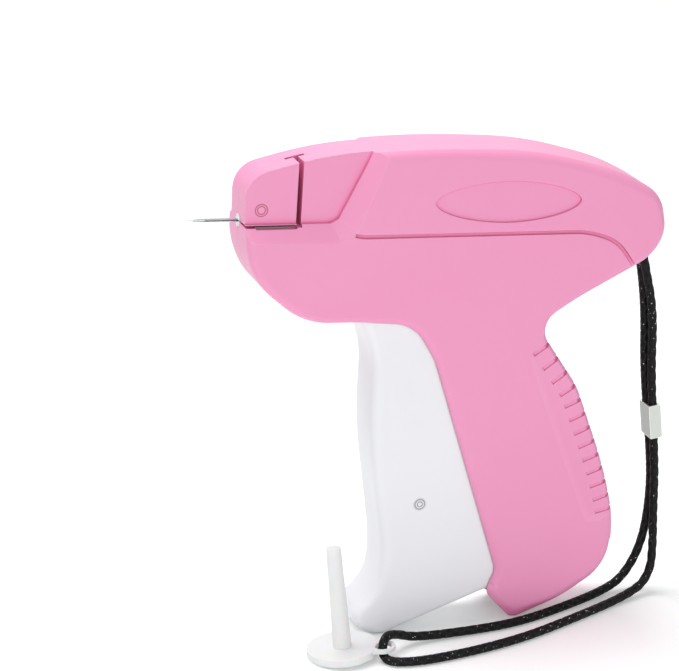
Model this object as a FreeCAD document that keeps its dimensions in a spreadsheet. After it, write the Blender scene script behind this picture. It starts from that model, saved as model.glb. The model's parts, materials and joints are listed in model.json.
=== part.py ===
import FreeCAD, Part
import math
import os
from types import SimpleNamespace

Vector = FreeCAD.Vector
Rotation = FreeCAD.Rotation
Placement = FreeCAD.Placement
doc = FreeCAD.newDocument("TagAttacher")

# Every size in millimetres or degrees, grouped by the piece that it drives.
# The tool's own frame: x runs back from the nose, z up from the needle's axis, y to the right.
sheetCells = [
    ("bodyLength", "150"), ("barrelRise", "26"), ("gripDepth", "150"), ("halfThickness", "13"),
    ("sideWall", "2.2"), ("rimWall", "2.4"), ("outerEdge", "1.7"),
    ("noseHalfThickness", "8.2"), ("ledgeHalfThickness", "9.5"),
    ("grooveWidth", "1.4"), ("grooveDepth", "0.8"), ("ovalDepth", "0.7"), ("bandDepth", "0.5"),
    ("ribCount", "13"), ("ribSlotWidth", "1.5"), ("ribSlotDepth", "0.9"), ("ribSlotReach", "7"),
    ("stemSlotWidth", "1.7"), ("barSlotLength", "6.6"), ("barSlotWidth", "1.8"),
    ("needleSlotWidth", "0.9"), ("rodChannelRadius", "0.7"),
    ("railThickness", "1.6"), ("railDepth", "5.6"), ("postRadius", "3.3"), ("postSides", "8"),
    ("runningGap", "0.06"), ("looseGap", "0.3"), ("cutOverrun", "1"),
    ("screwHeadRadius", "2.5"), ("screwHeadHeight", "1.8"), ("screwShankRadius", "1.25"),
    ("screwLength", "14"), ("screwHeadDepth", "2.6"),
    ("triggerHalfWidth", "10.3"), ("triggerWall", "2"), ("triggerEdge", "2.1"),
    ("triggerPivotRadius", "2"), ("triggerPinRadius", "1.9"), ("pinSink", "1.2"),
    ("leverHalfThickness", "3.2"), ("leverHubRadius", "4.2"), ("leverTipRadius", "3.7"),
    ("leverPivotRadius", "2"), ("leverBossRadius", "4"), ("leverFootReach", "40.5"), ("leverFootLean", "13"),
    ("leverSlotBias", "0.42"), ("linkPlateThickness", "2"), ("linkEyeRadius", "3.7"),
    ("footPinRadius", "1.5"), ("linkEyeGap", "0.3"),
    ("slideTravel", "33"), ("slideHalfWidth", "9.4"), ("slideHalfHeight", "6"), ("slideFront", "12"),
    ("slideBack", "9"), ("slideFrontWall", "2.4"), ("slidePinRadius", "1.5"), ("rodRadius", "0.42"),
    ("springStrip", "0.9"), ("springPitch", "1.4"), ("springHalfTurns", "3"), ("springWidth", "2.6"),
    ("needleRadius", "0.68"), ("needleBore", "0.48"), ("needleReach", "20.5"), ("needleTaper", "8"),
    ("needleSeat", "7"), ("needleSlot", "0.5"), ("needleRootRadius", "0.85"),
    ("needlePoint", "0.1"), ("needleTipSides", "12"),
    ("hubRadius", "2.3"), ("hubLength", "11.5"), ("hubLead", "1.2"),
    ("wheelTipRadius", "3"), ("wheelRootRadius", "2.1"), ("wheelThickness", "4.6"), ("wheelTeeth", "8"),
    ("wheelOffset", "3.9"), ("axleRadius", "0.75"), ("bladeThickness", "0.4"), ("bladeWidth", "5.4"),
    ("lockPinRadius", "2.2"), ("lockPlate", "2"), ("lockTabDepth", "3.6"), ("lockTipRadius", "2.6"),
    ("lockHubRadius", "4"), ("axleLength", "8"),
    ("strapDiameter", "3.1"), ("strapSides", "8"), ("strapPitch", "3.3"), ("anchorHeight", "5"),
    ("strapHoleLength", "16"),
    ("sliderLength", "12.5"), ("sliderWall", "0.7"),
    ("capHeight", "39"), ("capTopRadius", "2.55"), ("capBaseRadius", "3.25"), ("capBore", "1.6"),
    ("capTubeSides", "20"),
    ("capRoof", "3"), ("capFlangeRadius", "12.5"), ("capFlangeThickness", "1.3"), ("capFlangeRise", "1.2"),
    ("capEarRadius", "4.6"), ("capEarTip", "4.3"), ("capEarHole", "2.9"), ("capEarReach", "14.4"),
    ("capSkirt", "1.1"), ("capTilt", "4.8"), ("capTurn", "-28"),
]
sheet = doc.addObject("Spreadsheet::Sheet", "Sizes")
for row, (alias, number) in enumerate(sheetCells, 1):
    sheet.set("A%d" % row, alias)
    sheet.set("B%d" % row, number)
    sheet.setAlias("B%d" % row, alias)
doc.recompute()
size = SimpleNamespace(**{alias: float(sheet.get(alias)) for alias, number in sheetCells})

# Outlines of the side view: share of the length, share of the rise or of the depth, and how much of
# the shorter run the rounding takes up.
caseShares = [
    (-0.006, -0.057, 0.9), (-0.009, 0.631, 0.62), (0.173, 0.908, 0.9), (0.400, 0.996, 0.95),
    (0.667, 0.950, 0.95), (0.867, 0.654, 0.95), (0.980, 0.323, 0.95), (0.997, -0.037, 0.95),
    (0.963, -0.093, 0.95), (0.793, -0.184, 0.5), (0.697, -0.247, 0.9), (0.810, -0.400, 0.3),
    (0.889, -0.583, 0.9), (0.937, -0.730, 0.9), (0.935, -0.857, 0.95), (0.827, -0.935, 0.7),
    (0.690, -0.988, 0.55), (0.615, -0.901, 0.9), (0.645, -0.857, 0.9), (0.453, -0.323, 0.5),
    (0.397, -0.237, 0.9), (0.270, -0.226, 0.3), (0.137, -0.224, 0.9), (0.028, -0.135, 0.9)]
footCorner = 16
triggerShares = [
    (0.270, -0.213, 0), (0.312, -0.310, 0.9), (0.313, -0.493, 0.9), (0.363, -0.780, 0.9),
    (0.363, -0.880, 0.9), (0.288, -0.957, 0.85), (0.360, -1.009, 0.75), (0.648, -0.893, 0),
    (0.663, -0.860, 0), (0.543, -0.513, 0), (0.480, -0.333, 0), (0.474, -0.116, 0.8), (0.380, -0.116, 0.8)]
toeCorner = 6
openingShares = [(0.263, -0.17), (0.263, -0.31), (0.55, -1.02), (0.692, -1.02), (0.697, -0.93),
                 (0.49, -0.31), (0.42, -0.17)]
noseBlockShares = [(-0.14, -0.062), (0.245, -0.062), (0.30, 0.2), (0.40, 1.5), (-0.14, 1.5)]
bandOuterShares = [(-0.14, -0.031), (0.208, -0.036), (0.245, -0.012), (0.341, 1.38), (-0.14, 1.38)]
bandInnerShares = [(-0.14, 0.023), (0.188, 0.023), (0.206, 0.08), (0.315, 1.38), (-0.14, 1.38)]
grooveShares = [(0.240, -0.019, 0), (0.262, -0.023, 0.5), (0.795, -0.024, 0.8), (0.872, -0.048, 0.9),
                (0.930, -0.125, 0)]
ovalShares = [(0.414, 0.29, 0.8), (0.430, 0.44, 0.9), (0.593, 0.68, 0.9), (0.765, 0.42, 0.9),
              (0.781, 0.29, 0.8), (0.765, 0.14, 0.9), (0.600, -0.019, 0.9), (0.430, 0.11, 0.9)]
ribBandShares = [(0.712, -0.262, 0), (0.692, -0.300, 0.9), (0.712, -0.362, 0.8), (0.802, -0.575, 0.8),
                 (0.868, -0.722, 0), (0.99, -0.722, 0), (0.85, -0.262, 0)]
triggerPivotShares = (0.427, -0.160)
triggerPinShares = (0.445, -0.675)
leverPivotShares = (0.687, -0.520)
slidePinShare = 0.660
stemSlotShare = 0.116
barSlotShare = 0.115
screwShares = [(0.900, 0.18), (0.200, -0.150), (0.853, -0.843)]
lockPinShares = (0.030, 0.204)
lockTipShares = (0.100, 0.40)
wheelHeightShare = 0.40
toothShares = (0, 0.25, 0.45, 0.8)
scoopShares = (0.5, 0.67)
railShares = (0.31, 0.735)
strapShares = [
    (0.5270, -0.0110, 0.9149), (0.5427, -0.0110, 0.8365), (0.5647, -0.0110, 0.7133),
    (0.5687, -0.0110, 0.5600), (0.5927, -0.0110, 0.3200), (0.5920, -0.0127, 0.2067),
    (0.5927, -0.0173, 0.1200), (0.5840, -0.0253, 0.0500), (0.5333, -0.0480, 0.0107),
    (0.2733, -0.1667, 0.0107), (0.1733, -0.2033, 0.0107), (0.0667, -0.2287, 0.0107),
    (-0.0267, -0.2413, 0.0107),
    (-0.0933, -0.2440, 0.0107), (-0.1467, -0.2307, 0.0107), (-0.1573, -0.1947, 0.0107),
    (-0.1462, -0.1707, 0.0471), (-0.1100, -0.1487, 0.0400), (-0.0567, -0.1320, 0.0147),
    (0.1067, -0.1267, 0.0107), (0.2000, -0.1173, 0.0107), (0.3000, -0.0867, 0.0107),
    (0.4767, -0.0107, 0.0113),
    (0.5333, 0.0073, 0.0400), (0.5733, 0.0120, 0.1100), (0.5893, 0.0113, 0.2067), (0.5927, 0.0110, 0.3200),
    (0.5687, 0.0110, 0.5600), (0.5647, 0.0110, 0.7133), (0.5427, 0.0110, 0.8365), (0.5270, 0.0110, 0.9149)]
cordEase = 0.9
sliderRun = 3
sliderShare = 0.5
capRimShares = (-0.3083, -0.1009, 0)
ribRayShare = 0.66
ribTopShare = 0.290
closeEnough = 0.000001
ribBottomShare = 0.705
triggerBackShares = [(0.70, -0.835), (0.62, -0.835), (0.50, -0.40), (0.455, -0.20), (0.455, -0.05),
                     (0.60, -0.05), (0.75, -0.50)]


def bind(item, **expressions):
    for prop, expression in expressions.items():
        item.setExpression(prop, expression)
    return item


def place(xShare, zShare):
    rise = size.barrelRise if zShare > 0 else size.gripDepth
    return Vector(xShare * size.bodyLength, zShare * rise, 0)


def corners(shares):
    return [place(entry[0], entry[1]) for entry in shares]


def polygonEdges(points):
    return [Part.LineSegment(a, b) for a, b in zip(points, points[1:] + points[:1])]


def cornerArc(before, corner, after, ease):
    towardsBefore, towardsAfter = before - corner, after - corner
    turn = math.pi - towardsBefore.getAngle(towardsAfter)
    tangent = ease * min(towardsBefore.Length, towardsAfter.Length) / 2
    radius = tangent / math.tan(turn / 2)
    towardsBefore.normalize()
    towardsAfter.normalize()
    middle = towardsBefore + towardsAfter
    middle.normalize()
    centre = corner + middle * math.hypot(radius, tangent)
    return SimpleNamespace(first=corner + towardsBefore * tangent, last=corner + towardsAfter * tangent,
                           top=centre - middle * radius, centre=centre, radius=radius)


def roundedEdges(shares, closed=True):
    # Straight runs joined by arcs that are tangent to both neighbours.
    points = corners(shares)
    curves, here = [], None
    count = len(points)
    for index in range(count + (1 if closed else 0)):
        entry = index % count
        end = not closed and index in (0, count - 1)
        if shares[entry][2] == 0 or end:
            if here is not None:
                curves.append(Part.LineSegment(here, points[entry]))
            here = points[entry]
            continue
        arc = cornerArc(points[entry - 1], points[entry], points[(entry + 1) % count], shares[entry][2])
        if here is not None and here.distanceToPoint(arc.first) > closeEnough:
            curves.append(Part.LineSegment(here, arc.first))
        if index < count:
            curves.append(Part.Arc(arc.first, arc.top, arc.last))
        here = arc.last
    return curves


def wireOf(curves):
    return Part.Wire(Part.__sortEdges__([curve.toShape() for curve in curves]))


def curvesOf(wire):
    curves = []
    for edge in wire.Edges:
        ends = [vertex.Point for vertex in edge.Vertexes]
        if isinstance(edge.Curve, Part.Line):
            curves.append(Part.LineSegment(ends[0], ends[1]))
        elif len(ends) == 1:
            curves.append(Part.Circle(edge.Curve.Center, Vector(0, 0, 1), edge.Curve.Radius))
        else:
            middle = edge.valueAt((edge.FirstParameter + edge.LastParameter) / 2)
            curves.append(Part.Arc(ends[0], middle, ends[1]))
    return curves


def circleCurve(centre, radius):
    return Part.Circle(centre, Vector(0, 0, 1), radius)


def evenRing(centre, radius, sides):
    turns = [2 * math.pi * side / sides for side in range(int(sides))]
    return polygonEdges([centre + Vector(math.cos(turn), math.sin(turn), 0) * radius for turn in turns])


def armCurves(a, b, radiusA, radiusB):
    # Two round ends joined by their common tangents.
    axis = b - a
    lean = math.asin((radiusA - radiusB) / axis.Length)
    heading = math.atan2(axis.y, axis.x)

    def rim(centre, radius, angle):
        return centre + Vector(math.cos(angle), math.sin(angle), 0) * radius

    upper, lower = heading + math.pi / 2 - lean, heading - math.pi / 2 + lean
    return [Part.Arc(rim(a, radiusA, upper), rim(a, radiusA, heading + math.pi), rim(a, radiusA, lower)),
            Part.LineSegment(rim(a, radiusA, lower), rim(b, radiusB, lower)),
            Part.Arc(rim(b, radiusB, lower), rim(b, radiusB, heading), rim(b, radiusB, upper)),
            Part.LineSegment(rim(b, radiusB, upper), rim(a, radiusA, upper))]


def newBody(label):
    body = doc.addObject("PartDesign::Body", label)
    body.Label = label
    return body


def sketchOn(body, name, curves, offset=None, role="XZ_Plane"):
    sketch = body.newObject("Sketcher::SketchObject", name)
    plane = [item for item in body.Origin.OriginFeatures if item.Role == role][0]
    sketch.AttachmentSupport = [(plane, "")]
    sketch.MapMode = "FlatFace"
    for curve in curves:
        sketch.addGeometry(curve, False)
    if offset:
        sketch.setExpression("AttachmentOffset.Base.z", offset)
    return sketch


def feature(kind, body, name, sketch, length, symmetric=False, flip=False, through=False):
    item = body.newObject("PartDesign::" + kind, name)
    item.Profile = sketch
    item.Reversed = flip
    if symmetric:
        item.SideType = "Symmetric"
    if through:
        item.Type = "ThroughAll"
    else:
        item.setExpression("Length", length)
    return item


def pad(body, name, sketch, length, **options):
    return feature("Pad", body, name, sketch, length, **options)


def pocket(body, name, sketch, length=None, **options):
    return feature("Pocket", body, name, sketch, length, through=length is None, **options)


# Where the tool stands: on the trigger's toe and the handle's foot, which share one tangent line.
def circleAt(shares, index):
    points = corners(shares)
    after = points[(index + 1) % len(points)]
    return cornerArc(points[index - 1], points[index], after, shares[index][2])


toe, foot = circleAt(triggerShares, toeCorner), circleAt(caseShares, footCorner)
acrossX, acrossZ = toe.centre.x - foot.centre.x, toe.centre.y - foot.centre.y
lean = -math.acos((toe.radius - foot.radius) / math.hypot(acrossX, acrossZ))
lean = (lean - math.atan2(acrossX, acrossZ) + math.pi) % (2 * math.pi) - math.pi
tilt = Rotation(Vector(0, 1, 0), math.degrees(lean))
lowest = toe.centre.y * math.cos(lean) - toe.centre.x * math.sin(lean) - toe.radius
caseFace = Part.Face(wireOf(roundedEdges(caseShares)))
standing = caseFace.copy()
standing.Placement = Placement(Vector(), tilt) * Placement(Vector(), Rotation(Vector(1, 0, 0), 90))
tailX = standing.BoundBox.XMax
tipX = -size.needleReach * math.cos(lean)
stance = Placement(Vector(-(tailX + tipX) / 2, 0, -lowest), tilt)
strapRoute = [Vector(*entry) * size.bodyLength for entry in strapShares]
strapDrop = strapRoute[0] - strapRoute[1]
strapStart = Placement(Vector(strapRoute[0].x, 0, strapRoute[0].z),
                       Rotation(Vector(0, 0, 1), Vector(strapDrop.x, 0, strapDrop.z)))
print("lean", round(math.degrees(lean), 3), "stance", stance.Base)


subParts = []


def stand(item, local=Placement()):
    item.Placement = stance * local
    return item


def crossPin(label, at, radius, length):
    # A round pin that lies across the tool, centred on its middle plane.
    pin = doc.addObject("Part::Cylinder", label)
    pin.Label = label
    bind(pin, Radius=radius, Height=length)
    doc.recompute()
    local = Placement(Vector(at.x, pin.Height.Value / 2, at.y), Rotation(Vector(1, 0, 0), 90))
    return stand(pin, local)


triggerPivot = place(*triggerPivotShares)
triggerPin = place(*triggerPinShares)
leverPivot = place(*leverPivotShares)
slidePin = Vector(slidePinShare * size.bodyLength, 0, 0)
leverFoot = leverPivot + Vector(-math.sin(math.radians(size.leverFootLean)),
                                -math.cos(math.radians(size.leverFootLean)), 0) * size.leverFootReach
lockPin = place(*lockPinShares)
screwPlaces = corners(screwShares)
cavityDepth = "Sizes.halfThickness - Sizes.sideWall"
wheelHeight = wheelHeightShare * size.barrelRise
bladeFrom = size.rimWall
bladeTo = (stemSlotShare * size.bodyLength) - size.stemSlotWidth / 2


# The casing is two moulded halves that meet on the middle plane.
def cavityCurves():
    inner = caseFace.makeOffset2D(-size.rimWall)
    block = Part.Face(wireOf(polygonEdges(corners(noseBlockShares))))
    return curvesOf(inner.cut(block).Faces[0].OuterWire)


def grooveCurves():
    line = wireOf(roundedEdges(grooveShares, closed=False))
    upper = line.makeOffset2D(size.grooveWidth / 2, fill=True, openResult=True)
    lower = line.makeOffset2D(-size.grooveWidth / 2, fill=True, openResult=True)
    return curvesOf(upper.Faces[0].fuse(lower.Faces[0]).removeSplitter().Faces[0].OuterWire)


def rectangle(x0, z0, x1, z1):
    return polygonEdges([Vector(x0, z0), Vector(x1, z0), Vector(x1, z1), Vector(x0, z1)])


def shellBody(label, left):
    body = newBody(label)

    def deep(expression):
        return expression if left else "-(%s)" % expression

    def boss(name, curves, start):
        sketch = sketchOn(body, label + name, curves, deep(start))
        return pad(body, label + name + "Pad", sketch, cavityDepth + " - (%s) + Sizes.cutOverrun" % start,
                   flip=not left)

    def sink(name, curves, start, depth):
        sketch = sketchOn(body, label + name, curves, deep(start))
        return pocket(body, label + name + "Cut", sketch, depth, flip=left)

    def carve(name, curves, depth):
        sketch = sketchOn(body, label + name, curves, deep("Sizes.halfThickness"))
        return pocket(body, label + name + "Cut", sketch, depth, flip=not left)

    outline = sketchOn(body, label + "Outline", roundedEdges(caseShares))
    pad(body, label + "Block", outline, "Sizes.halfThickness", flip=not left)
    doc.recompute()
    rim = body.newObject("PartDesign::Chamfer", label + "Rim")
    block = body.getObject(label + "Block")
    face = size.halfThickness
    edges = ["Edge%d" % (index + 1) for index, edge in enumerate(block.Shape.Edges)
             if all(abs(abs(vertex.Point.y) - face) < size.runningGap for vertex in edge.Vertexes)]
    rim.Base = (block, edges)
    bind(rim, Size="Sizes.outerEdge")

    # The sloped band round the thin nose, then the nose's own face.
    outer = sketchOn(body, label + "BandOuter", polygonEdges(corners(bandOuterShares)),
                     deep("Sizes.halfThickness"))
    inner = sketchOn(body, label + "BandInner", polygonEdges(corners(bandInnerShares)),
                     deep("Sizes.ledgeHalfThickness"))
    band = body.newObject("PartDesign::SubtractiveLoft", label + "Band")
    band.Profile = outer
    band.Sections = [inner]
    band.Ruled = True
    carve("NoseFace", polygonEdges(corners(bandInnerShares)), "Sizes.halfThickness - Sizes.noseHalfThickness")
    carve("Groove", grooveCurves(), "Sizes.grooveDepth")
    carve("Oval", roundedEdges(ovalShares), "Sizes.ovalDepth")
    carve("Grip", roundedEdges(ribBandShares), "Sizes.bandDepth")
    sink("Hollow", cavityCurves(), "0", cavityDepth)
    sink("Opening", polygonEdges(corners(openingShares)), "0", cavityDepth)

    # Rails for the slide, bosses for the lever and posts for the screws.
    low = size.slideHalfHeight + size.runningGap
    high = low + size.railThickness
    railFrom, railTo = [share * size.bodyLength for share in railShares]
    railStart = cavityDepth + " - Sizes.railDepth"
    boss("UpperRail", rectangle(railFrom, low, railTo, high), railStart)
    boss("LowerRail", rectangle(railFrom, -high, railTo, -low), railStart)
    boss("LeverBoss", [circleCurve(leverPivot, size.leverBossRadius)],
         "Sizes.leverHalfThickness + 2 * Sizes.looseGap")
    for index, at in enumerate(screwPlaces):
        boss("Post%d" % index, evenRing(at, size.postRadius, size.postSides), "0")
    sink("LeverPin", [circleCurve(leverPivot, size.leverPivotRadius)], "0",
         cavityDepth + " + Sizes.pinSink")
    sink("TriggerPin", [circleCurve(triggerPivot, size.triggerPivotRadius)], "0",
         cavityDepth + " + Sizes.pinSink")
    sink("LockPin", [circleCurve(lockPin, size.lockPinRadius + size.runningGap)], "0", "Sizes.halfThickness")
    for index, at in enumerate(screwPlaces):
        if left:
            sink("Pilot%d" % index, [circleCurve(at, size.screwShankRadius)], "0",
                 "Sizes.screwLength - Sizes.halfThickness + Sizes.screwHeadDepth + Sizes.cutOverrun")
        else:
            sink("Through%d" % index, [circleCurve(at, size.screwShankRadius + size.looseGap)], "0",
                 "Sizes.halfThickness")
            carve("HeadSeat%d" % index, [circleCurve(at, size.screwHeadRadius + size.looseGap)],
                  "Sizes.screwHeadDepth")

    # The fastener's way down through the nose, the needle's slot and the bores along the needle's axis.
    top = size.barrelRise + size.cutOverrun
    stem, bar = stemSlotShare * size.bodyLength, barSlotShare * size.bodyLength
    needleHalf = size.needleSlotWidth / 2
    sink("BarSlot", rectangle(bar - size.barSlotLength / 2, -size.rodChannelRadius,
                              bar + size.barSlotLength / 2, top), "0", "Sizes.barSlotWidth / 2")
    if left:
        sink("StemSlot", rectangle(stem - size.stemSlotWidth / 2, needleHalf,
                                   stem + size.stemSlotWidth / 2, top), "0", "Sizes.halfThickness")
        sink("NeedleSlot", rectangle(-size.rimWall, -needleHalf, stem + size.stemSlotWidth / 2, needleHalf),
             "0", "Sizes.ledgeHalfThickness + Sizes.cutOverrun")
        sink("BladeSeat", rectangle(bladeFrom, -needleHalf - size.bladeThickness, bladeTo, -needleHalf),
             "Sizes.hubRadius + Sizes.looseGap", "Sizes.halfThickness")
    bores = [("HubBore", -size.rimWall, size.hubLength, size.hubRadius),
             ("RodBore", size.hubLength, railFrom, size.rodChannelRadius)]
    for name, start, end, radius in bores:
        sketch = sketchOn(body, label + name, rectangle(start, 0, end, radius))
        groove = body.newObject("PartDesign::Groove", label + name + "Cut")
        groove.Profile = sketch
        groove.ReferenceAxis = (sketch, ["H_Axis"])
        groove.Angle = 360
    if not left:
        wheelAt = Vector(size.wheelOffset, wheelHeight, 0)
        room = circleCurve(wheelAt, size.wheelTipRadius + size.looseGap)
        seat = sketchOn(body, label + "WheelSeat", [room], role="YZ_Plane", offset=(
            "%g * Sizes.bodyLength + Sizes.wheelThickness / 2 + Sizes.looseGap" % barSlotShare))
        pocket(body, label + "WheelSeatCut", seat, "Sizes.wheelThickness + 2 * Sizes.looseGap")
        hole = sketchOn(body, label + "AxleHole", [circleCurve(wheelAt, size.axleRadius)],
                        "%g * Sizes.bodyLength + Sizes.axleLength / 2" % barSlotShare, role="YZ_Plane")
        pocket(body, label + "AxleHoleCut", hole, "Sizes.axleLength")

    doc.recompute()
    return stand(body)


def backEdgeAt(height):
    ray = Part.LineSegment(Vector(ribRayShare * size.bodyLength, height), Vector(size.bodyLength, height))
    inside = ray.toShape().common(caseFace)
    return max((vertex.Point for vertex in inside.Vertexes), key=lambda point: point.x)


def ribSlots(label, side):
    # Short slots that follow the rounded back edge, square to it.
    cutters = []
    edge, depth, face = size.outerEdge, size.ribSlotDepth, size.halfThickness
    beyond = size.cutOverrun
    count = int(size.ribCount)
    for index in range(count):
        share = ribTopShare + (ribBottomShare - ribTopShare) * index / (count - 1)
        height = -share * size.gripDepth
        at = backEdgeAt(height)
        along = backEdgeAt(height - size.ribSlotWidth) - backEdgeAt(height + size.ribSlotWidth)
        along.normalize()
        outward = Vector(-along.y, along.x, 0)

        def corner(u, across):
            spot = at + outward * u
            return Vector(spot.x, side * across, spot.y)

        bevel = edge + depth * math.tan(math.pi / 8)
        ring = [corner(-size.ribSlotReach, face + beyond), corner(-size.ribSlotReach, face - depth),
                corner(-bevel, face - depth), corner(-depth, face - bevel), corner(-depth, 0),
                corner(beyond, 0), corner(beyond, face + beyond)]
        slot = Part.Face(Part.makePolygon(ring + ring[:1]))
        slot.translate(Vector(along.x, 0, along.y) * (-size.ribSlotWidth / 2))
        cutters.append(slot.extrude(Vector(along.x, 0, along.y) * size.ribSlotWidth))
    cutters.append(strapPassage())
    slots = doc.addObject("Part::Feature", label + "_slots")
    slots.Shape = Part.makeCompound(cutters)
    return stand(slots)


def strapPassage():
    # A slanted hole through the corner of the tail, wide enough for both strands.
    wide = size.strapPitch + size.strapDiameter + 2 * size.looseGap
    deep = size.strapDiameter + 2 * size.looseGap
    hole = Part.makeBox(deep, wide, size.strapHoleLength, Vector(-deep / 2, -wide / 2, -size.strapHoleLength))
    hole.Placement = stance.inverse() * strapStart
    return hole


leftMoulding = shellBody("left_moulding", True)
rightMoulding = shellBody("right_moulding", False)
guideBox = doc.addObject("Part::Box", "guide_box")
bind(guideBox, Length="%g * Sizes.bodyLength" % (2 * stemSlotShare), Width="Sizes.halfThickness",
     Height="2 * Sizes.barrelRise")
guideFrom = Vector(-stemSlotShare * size.bodyLength - size.stemSlotWidth / 2, -size.halfThickness,
                   size.needleSlotWidth / 2)
stand(guideBox, Placement(guideFrom, Rotation()))
guide = doc.addObject("Part::Common", "nose_guide")
guide.Base = leftMoulding
guide.Tool = guideBox
guide.Label = "nose_guide"
opened = doc.addObject("Part::Cut", "left_moulding_open")
opened.Base = leftMoulding
opened.Tool = guideBox
for label, moulding, side in (("left_shell", opened, -1), ("right_shell", rightMoulding, 1)):
    cut = doc.addObject("Part::Cut", label)
    cut.Base = moulding
    cut.Tool = ribSlots(label, side)
    cut.Label = label
    subParts.append(cut)
subParts.append(guide)


def plate(label, curves, length, offset=None, flip=False, role="XZ_Plane", symmetric=True):
    body = newBody(label)
    sketch = sketchOn(body, label + "Outline", curves, offset, role)
    pad(body, label + "Pad", sketch, length, symmetric=symmetric, flip=flip)
    return body


def finish(body):
    doc.recompute()
    subParts.append(stand(body))
    return body


# The trigger is one moulding, open at the back: a front wall between two cheeks.
trigger = plate("trigger", roundedEdges(triggerShares), "2 * Sizes.triggerHalfWidth")
doc.recompute()
block = trigger.getObject("triggerPad")
front = corners(triggerShares)
frontEdges = []
for index, edge in enumerate(block.Shape.Edges):
    onFace = all(abs(abs(vertex.Point.y) - size.triggerHalfWidth) < size.runningGap
                 for vertex in edge.Vertexes)
    middle = edge.valueAt((edge.FirstParameter + edge.LastParameter) / 2)
    spot = Vector(middle.x, middle.z, 0)
    ahead = spot.x < triggerPivot.x and spot.y < front[0].y
    under = spot.y < front[7].y and spot.x < front[7].x
    if onFace and (ahead or under):
        frontEdges.append("Edge%d" % (index + 1))
bevel = trigger.newObject("PartDesign::Chamfer", "triggerBevel")
bevel.Base = (block, frontEdges)
bind(bevel, Size="Sizes.triggerEdge")
inside = Part.Face(wireOf(roundedEdges(triggerShares))).makeOffset2D(-size.triggerWall)
hollow = sketchOn(trigger, "triggerHollow", curvesOf(inside.OuterWire))
betweenCheeks = "2 * (Sizes.triggerHalfWidth - Sizes.triggerWall)"
pocket(trigger, "triggerHollowCut", hollow, betweenCheeks, symmetric=True)
back = sketchOn(trigger, "triggerBack", polygonEdges(corners(triggerBackShares)))
pocket(trigger, "triggerBackCut", back, betweenCheeks, symmetric=True)
bores = sketchOn(trigger, "triggerBores", [
    circleCurve(triggerPivot, size.triggerPivotRadius + size.runningGap),
    circleCurve(triggerPin, size.triggerPinRadius + size.runningGap)])
pocket(trigger, "triggerBoresCut", bores, "2 * Sizes.halfThickness", symmetric=True)
finish(trigger)

subParts.append(crossPin("trigger_pivot_pin", triggerPivot, "Sizes.triggerPivotRadius",
                         "2 * (%s + Sizes.pinSink)" % cavityDepth))
subParts.append(crossPin("link_pin", triggerPin, "Sizes.triggerPinRadius", "2 * Sizes.triggerHalfWidth"))
subParts.append(crossPin("lever_pivot_pin", leverPivot, "Sizes.leverPivotRadius",
                         "2 * (%s + Sizes.pinSink)" % cavityDepth))
subParts.append(crossPin("lever_foot_pin", leverFoot, "Sizes.footPinRadius",
                         "2 * (Sizes.leverHalfThickness + Sizes.looseGap + Sizes.linkPlateThickness)"))

# The drive lever turns on its pivot, pushed at its foot, and its slotted top carries the slide.
restLean = math.atan2(leverPivot.x - slidePin.x, slidePin.y - leverPivot.y)
upward = Vector(-math.sin(restLean), math.cos(restLean), 0)
sideways = Vector(upward.y, -upward.x, 0)
restReach = (slidePin - leverPivot).Length
endReach = math.hypot(slidePin.y - leverPivot.y, leverPivot.x - slidePin.x + size.slideTravel)
slotHalf = size.slidePinRadius + size.leverSlotBias + size.looseGap
slotFoot = leverPivot + upward * (restReach - size.looseGap) - sideways * size.leverSlotBias
slotTop = leverPivot + upward * (endReach + size.looseGap) - sideways * size.leverSlotBias
lever = plate("drive_lever", armCurves(leverPivot, slotTop, size.leverHubRadius, size.leverTipRadius),
              "2 * Sizes.leverHalfThickness")
lowerArm = armCurves(leverPivot, leverFoot, size.leverHubRadius, size.linkEyeRadius)
lower = sketchOn(lever, "leverLowerArm", lowerArm)
pad(lever, "leverLowerPad", lower, "2 * Sizes.leverHalfThickness", symmetric=True)
holes = sketchOn(lever, "leverHoles", [circleCurve(leverPivot, size.leverPivotRadius + size.runningGap),
                                       circleCurve(leverFoot, size.footPinRadius)])
pocket(lever, "leverHolesCut", holes, "2 * Sizes.halfThickness", symmetric=True)
track = sketchOn(lever, "leverTrack", armCurves(slotFoot, slotTop, slotHalf, slotHalf))
pocket(lever, "leverTrackCut", track, "2 * Sizes.halfThickness", symmetric=True)
finish(lever)

# The push link is a block on the trigger's pin that forks round the lever's foot.
linkOutline = armCurves(triggerPin, leverFoot, size.linkEyeRadius, size.linkEyeRadius)
link = plate("push_link", linkOutline,
             "2 * (Sizes.leverHalfThickness + Sizes.looseGap + Sizes.linkPlateThickness)")
apart = (leverFoot - triggerPin)
reach = apart.Length
apart.normalize()
bridge = triggerPin + apart * (size.linkEyeRadius + size.footPinRadius + 2 * size.linkPlateThickness)
square = Vector(-apart.y, apart.x, 0) * (2 * size.linkEyeRadius)
fork = sketchOn(link, "linkFork", polygonEdges([bridge + square, bridge - square,
                                                leverFoot + apart * reach - square,
                                                leverFoot + apart * reach + square]))
pocket(link, "linkForkCut", fork, "2 * (Sizes.leverHalfThickness + Sizes.looseGap)", symmetric=True)
eyes = sketchOn(link, "linkEyes", [circleCurve(triggerPin, size.triggerPinRadius + size.runningGap),
                                   circleCurve(leverFoot, size.footPinRadius + size.linkEyeGap)])
pocket(link, "linkEyesCut", eyes, "2 * Sizes.halfThickness", symmetric=True)
finish(link)

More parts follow.
